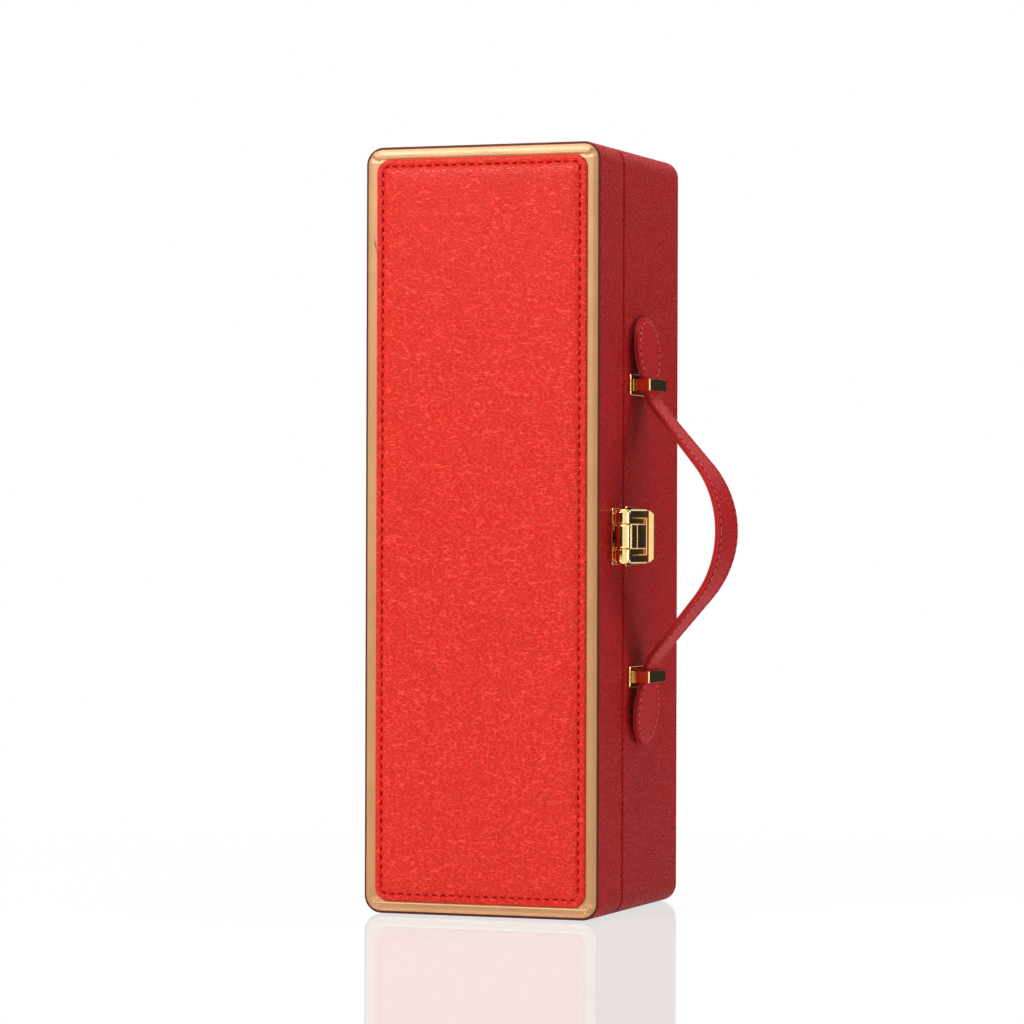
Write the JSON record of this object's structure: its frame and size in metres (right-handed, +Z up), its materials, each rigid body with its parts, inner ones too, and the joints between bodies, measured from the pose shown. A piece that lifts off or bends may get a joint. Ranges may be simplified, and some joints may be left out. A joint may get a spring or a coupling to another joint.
{
  "type": "wine bottle case",
  "caption": "Upright leather case for a wine bottle: a hinged lid with a padded front panel on a gold border, a brass latch, and a strap handle on the side.",
  "frame": {"origin": "centre of the case's footprint, on the surface that it stands on", "axes": "+Z up, +X towards the latch and handle, -Y towards the padded front panel"},
  "size_m": [0.1597, 0.1128, 0.345],
  "materials": {
    "red_leather": "fine grained",
    "panel_leather": "pebble grained, padded",
    "strap_leather": "grained, stitched",
    "gold_leather": "smooth gold, semi-matt",
    "brass": "polished",
    "velvet": "short pile velvet",
    "fibre_board": "wood fibre board",
    "foam": "thin foam core",
    "spring_steel": "spring steel"
  },
  "bodies": {
    "rear_case": {"rear_frame": "fibre_board", "back_board": "fibre_board", "rear_leather_wrap": "red_leather", "back_leather_sheet": "red_leather", "rear_velvet_lining": "velvet", "bottle_cradle": "velvet", "neck_rest": "velvet", "foot_pad": "velvet", "upper_hinge_rear_leaf": "brass", "lower_hinge_rear_leaf": "brass", "upper_hinge_pin": "brass", "lower_hinge_pin": "brass", "rear_hinge_screws": "brass", "upper_loop_plate": "brass", "upper_loop": "brass", "lower_loop_plate": "brass", "lower_loop": "brass", "latch_strike_plate": "brass", "strike_rivets": "brass"},
    "lid": {"lid_frame": "fibre_board", "front_board": "fibre_board", "gold_leather_facing": "gold_leather", "lid_leather_wrap": "red_leather", "lid_velvet_lining": "velvet", "panel_leather": "panel_leather", "panel_foam": "foam", "lid_pad": "velvet", "upper_hinge_lid_leaf": "brass", "lower_hinge_lid_leaf": "brass", "lid_hinge_screws": "brass", "latch_plate": "brass", "latch_pin": "brass", "latch_plate_rivets": "brass"},
    "latch": {"latch_flap": "brass", "latch_spring_clip": "spring_steel"},
    "handle": {"handle_face_leather": "strap_leather", "handle_backing_leather": "strap_leather"}
  },
  "joints": [
    {"name": "lid_hinge", "type": "hinge", "parent": "rear_case", "child": "lid", "pos_m": [-0.0587, -0.0229, 0.1725], "axis": [0, 0, -1], "range_deg": [0, 180]},
    {"name": "latch_hinge", "type": "hinge", "parent": "lid", "child": "latch", "pos_m": [0.06085, -0.0386, 0.17], "axis": [0, 0, -1], "range_deg": [0, 120]},
    {"name": "handle_rock", "type": "hinge", "parent": "rear_case", "child": "handle", "pos_m": [0.0609, 0, 0.1725], "axis": [0, 0, 1], "range_deg": [-6, 6]}
  ]
}
